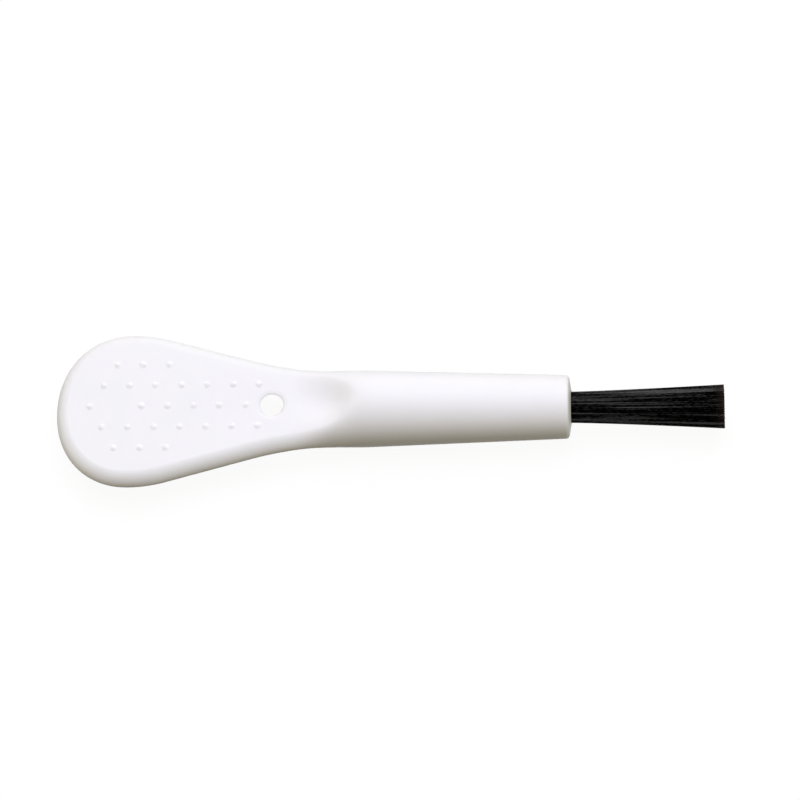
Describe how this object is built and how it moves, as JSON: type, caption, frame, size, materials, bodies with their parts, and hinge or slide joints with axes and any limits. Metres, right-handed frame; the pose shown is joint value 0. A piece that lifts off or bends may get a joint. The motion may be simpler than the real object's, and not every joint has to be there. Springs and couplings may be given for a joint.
{
  "type": "earbud cleaning brush",
  "caption": "Handheld cleaning brush: flat round-edged paddle with grip pips and a cord hole, a ramp into a round tapered barrel, and a straight bristle tuft set in the barrel's end.",
  "frame": {"origin": "on the ground under the middle of the tool's length and width, with the barrel's axis level", "axes": "+X along the barrel's axis from the paddle to the bristle tips, +Z out of the paddle's face with the pips, +Y to the left of that"},
  "size_m": [0.0718, 0.0176, 0.0082],
  "materials": {
    "handle_plastic": "satin white injection moulding",
    "bristle_nylon": "black extruded nylon filament",
    "anchor_brass": "punched sheet, bright"
  },
  "bodies": {
    "root": {"handle": "handle_plastic", "bristle_tuft": "bristle_nylon", "anchor": "anchor_brass"}
  },
  "joints": []
}
